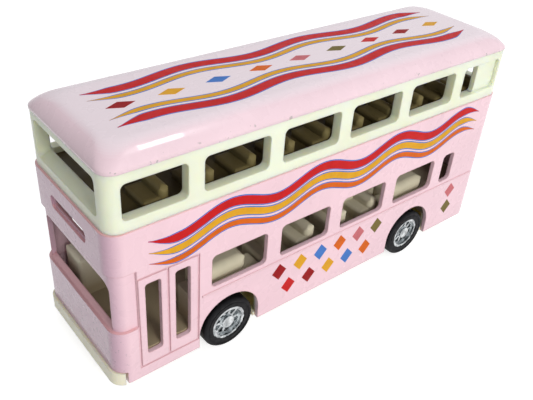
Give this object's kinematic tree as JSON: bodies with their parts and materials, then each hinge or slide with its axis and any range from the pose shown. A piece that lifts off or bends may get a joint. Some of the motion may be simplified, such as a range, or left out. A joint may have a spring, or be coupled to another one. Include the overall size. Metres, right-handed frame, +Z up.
{
  "type": "toy double-decker bus",
  "caption": "Toy double-decker bus with open windows, moulded seats on both decks, plated wheels and a pull-back motor geared to the rear axle.",
  "frame": {"origin": "centre of the bounding box at the floor, midway between the bumper's front and the rear panel", "axes": "+X forward along the bus, +Y to its left, the door side, +Z up"},
  "size_m": [0.125, 0.0362, 0.0633],
  "materials": {
    "body_paint": "glossy pale pink enamel",
    "cream_plastic": "glossy cream moulding",
    "plated_hub": "bright plating",
    "tyre_rubber": "matte black",
    "bright_steel": "bright",
    "motor_plastic": "matte dark grey",
    "gear_plastic": "natural white"
  },
  "bodies": {
    "bus": {"body_shell": "body_paint", "window_band": "cream_plastic", "roof": "body_paint", "upper_deck": "cream_plastic", "lower_deck": "cream_plastic", "chassis": "cream_plastic", "chassis_screws": "bright_steel", "motor_case_left": "motor_plastic", "motor_case_right": "motor_plastic", "motor_pins": "bright_steel", "mainspring": "bright_steel"},
    "front_wheels": {"front_axle": "bright_steel", "front_hub_left": "plated_hub", "front_hub_right": "plated_hub", "front_tyre_left": "tyre_rubber", "front_tyre_right": "tyre_rubber"},
    "rear_wheels": {"rear_axle": "bright_steel", "axle_pinion": "gear_plastic", "rear_hub_left": "plated_hub", "rear_hub_right": "plated_hub", "rear_tyre_left": "tyre_rubber", "rear_tyre_right": "tyre_rubber"},
    "transfer_wheel": {"transfer_gear": "gear_plastic"},
    "spring_wheel": {"spring_gear": "gear_plastic"}
  },
  "joints": [
    {"name": "front_axle_spin", "type": "hinge", "parent": "bus", "child": "front_wheels", "pos_m": [0.0316, 0, 0.0072], "axis": [0, 1, 0], "continuous": true},
    {"name": "rear_axle_spin", "type": "hinge", "parent": "bus", "child": "rear_wheels", "pos_m": [-0.0331, 0, 0.0072], "axis": [0, 1, 0], "continuous": true},
    {"name": "transfer_spin", "type": "hinge", "parent": "bus", "child": "transfer_wheel", "pos_m": [-0.02687, 0, 0.01225], "axis": [0, 1, 0], "continuous": true},
    {"name": "spring_spin", "type": "hinge", "parent": "bus", "child": "spring_wheel", "pos_m": [-0.0179, 0, 0.0113], "axis": [0, 1, 0], "continuous": true}
  ],
  "couplings": [
    {"joint": "transfer_spin", "follows": "rear_axle_spin", "ratio": -0.45455},
    {"joint": "spring_spin", "follows": "rear_axle_spin", "ratio": 0.17483}
  ]
}
